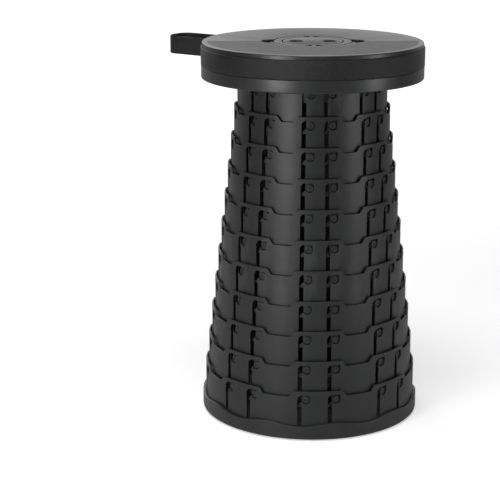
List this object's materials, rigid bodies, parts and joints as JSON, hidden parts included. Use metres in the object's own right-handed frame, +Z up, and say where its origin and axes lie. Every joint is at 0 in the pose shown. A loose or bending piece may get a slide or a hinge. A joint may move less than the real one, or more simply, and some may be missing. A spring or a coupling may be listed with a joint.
{
  "type": "collapsible telescopic stool",
  "caption": "Round telescopic stool of nested slotted rings that slide up into a tapered column, with a ribbed disc seat, a low base cup and a webbing carry loop.",
  "frame": {"origin": "centre of the column at floor level, stool extended and standing", "axes": "+Z up, +X to the seat's right along its dividing line, -Y towards the ribbed front half"},
  "size_m": [0.3034, 0.265, 0.4485],
  "materials": {
    "ring_plastic": "matte",
    "seat_plastic": "satin",
    "pad_rubber": "matte",
    "webbing": "woven",
    "screw_steel": "satin"
  },
  "bodies": {
    "base": {"base_cup": "ring_plastic", "base_pads": "pad_rubber", "ring_12": "ring_plastic"},
    "tier_11": {"ring_11": "ring_plastic"},
    "tier_10": {"ring_10": "ring_plastic"},
    "tier_09": {"ring_09": "ring_plastic"},
    "tier_08": {"ring_08": "ring_plastic"},
    "tier_07": {"ring_07": "ring_plastic"},
    "tier_06": {"ring_06": "ring_plastic"},
    "tier_05": {"ring_05": "ring_plastic"},
    "tier_04": {"ring_04": "ring_plastic"},
    "tier_03": {"ring_03": "ring_plastic"},
    "tier_02": {"ring_02": "ring_plastic"},
    "seat": {"ring_01": "ring_plastic", "seat_frame": "seat_plastic", "seat_cover": "seat_plastic", "hub_arcs": "seat_plastic", "hub_disc": "seat_plastic", "seat_screws": "screw_steel", "strap_band": "webbing", "strap_rivets": "screw_steel", "strap_slider": "seat_plastic"},
    "carry_loop": {"carry_loop": "webbing"}
  },
  "joints": [
    {"name": "tier_11_slide", "type": "slide", "parent": "base", "child": "tier_11", "axis": [0, 0, -1], "range_m": [0, 0.035]},
    {"name": "tier_10_slide", "type": "slide", "parent": "tier_11", "child": "tier_10", "axis": [0, 0, -1], "range_m": [0, 0.035]},
    {"name": "tier_09_slide", "type": "slide", "parent": "tier_10", "child": "tier_09", "axis": [0, 0, -1], "range_m": [0, 0.035]},
    {"name": "tier_08_slide", "type": "slide", "parent": "tier_09", "child": "tier_08", "axis": [0, 0, -1], "range_m": [0, 0.035]},
    {"name": "tier_07_slide", "type": "slide", "parent": "tier_08", "child": "tier_07", "axis": [0, 0, -1], "range_m": [0, 0.035]},
    {"name": "tier_06_slide", "type": "slide", "parent": "tier_07", "child": "tier_06", "axis": [0, 0, -1], "range_m": [0, 0.035]},
    {"name": "tier_05_slide", "type": "slide", "parent": "tier_06", "child": "tier_05", "axis": [0, 0, -1], "range_m": [0, 0.035]},
    {"name": "tier_04_slide", "type": "slide", "parent": "tier_05", "child": "tier_04", "axis": [0, 0, -1], "range_m": [0, 0.035]},
    {"name": "tier_03_slide", "type": "slide", "parent": "tier_04", "child": "tier_03", "axis": [0, 0, -1], "range_m": [0, 0.035]},
    {"name": "tier_02_slide", "type": "slide", "parent": "tier_03", "child": "tier_02", "axis": [0, 0, -1], "range_m": [0, 0.035]},
    {"name": "seat_slide", "type": "slide", "parent": "tier_02", "child": "seat", "axis": [0, 0, -1], "range_m": [0, 0.035]},
    {"name": "carry_loop_swing", "type": "hinge", "parent": "seat", "child": "carry_loop", "pos_m": [-0.11974, 0.08107, 0.4324], "axis": [-0.5606, -0.8281, 0], "range_deg": [-35, 75]}
  ]
}
